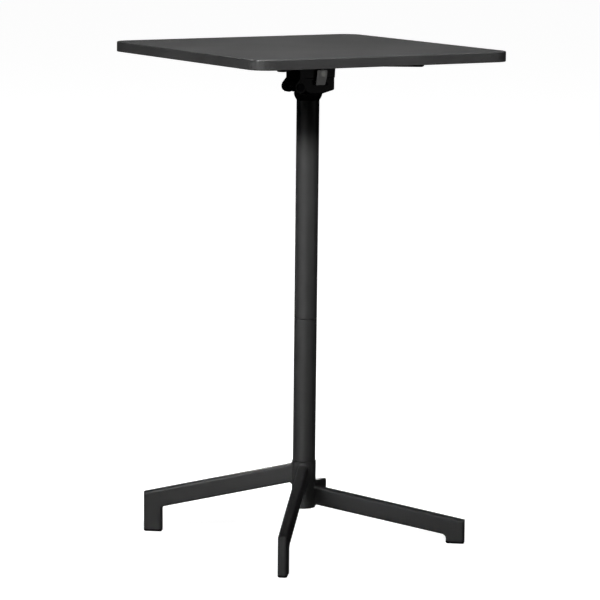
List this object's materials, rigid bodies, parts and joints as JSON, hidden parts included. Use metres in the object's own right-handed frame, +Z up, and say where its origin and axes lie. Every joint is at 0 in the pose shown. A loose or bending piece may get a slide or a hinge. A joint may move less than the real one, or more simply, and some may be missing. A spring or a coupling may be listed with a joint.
{
  "type": "folding bar table",
  "caption": "Bar-height table with a square top that tilts upright on a locking head, on a round two-piece column with staggered box-section legs for nesting.",
  "frame": {"origin": "on the floor, under the middle of the top and the column", "axes": "+Z up, +X towards the low legs and away from the tilt pivot, +Y along the tilt axis"},
  "size_m": [0.61, 0.61, 1.05],
  "materials": {
    "top_paint": "fine-texture anthracite powder coat",
    "frame_paint": "fine-texture anthracite powder coat",
    "cast_paint": "black powder coat on die-cast aluminium",
    "plated_steel": "zinc plated",
    "black_steel": "black oxide",
    "lever_steel": "satin zinc plate",
    "core_board": "black sealed fibreboard",
    "brass_insert": "turned",
    "buffer_rubber": "matt moulded",
    "bush_nylon": "moulded nylon",
    "glide_plastic": "moulded polyethylene"
  },
  "bodies": {
    "base": {"base_hub": "frame_paint", "hub_bolt": "plated_steel", "hub_washer": "plated_steel", "column_anchor": "plated_steel", "leg_arm_left": "frame_paint", "leg_arm_front": "frame_paint", "leg_arm_right": "frame_paint", "leg_arm_rear": "frame_paint", "foot_post_left": "frame_paint", "foot_post_front": "frame_paint", "foot_post_right": "frame_paint", "foot_post_rear": "frame_paint", "foot_glide_left": "glide_plastic", "foot_glide_front": "glide_plastic", "foot_glide_right": "glide_plastic", "foot_glide_rear": "glide_plastic", "lower_tube": "frame_paint", "upper_tube": "frame_paint", "joint_socket": "plated_steel", "joint_stud": "plated_steel", "joint_plug": "plated_steel", "column_head": "cast_paint", "head_screws": "black_steel", "stop_buffers": "buffer_rubber", "keeper_pin": "black_steel", "pivot_bushes": "bush_nylon"},
    "top": {"pivot_axle": "black_steel", "axle_clip": "black_steel", "tilt_bracket": "cast_paint", "spider_arm_left": "cast_paint", "spider_arm_front": "cast_paint", "spider_arm_right": "cast_paint", "spider_arm_rear": "cast_paint", "arm_screws": "plated_steel", "top_inserts": "brass_insert", "top_core": "core_board", "top_skin": "top_paint"},
    "latch": {"latch_shaft": "plated_steel", "hook_pin": "plated_steel", "latch_hook": "plated_steel", "lock_lever": "lever_steel", "lever_washer": "bush_nylon", "lever_screw": "plated_steel", "shaft_clip": "black_steel"}
  },
  "joints": [
    {"name": "top_tilt", "type": "hinge", "parent": "base", "child": "top", "pos_m": [-0.036, 0, 0.967], "axis": [0, -1, 0], "range_deg": [0, 90]},
    {"name": "lock_turn", "type": "hinge", "parent": "top", "child": "latch", "pos_m": [0.016, 0, 0.994], "axis": [0, -1, 0], "range_deg": [0, 22]}
  ]
}
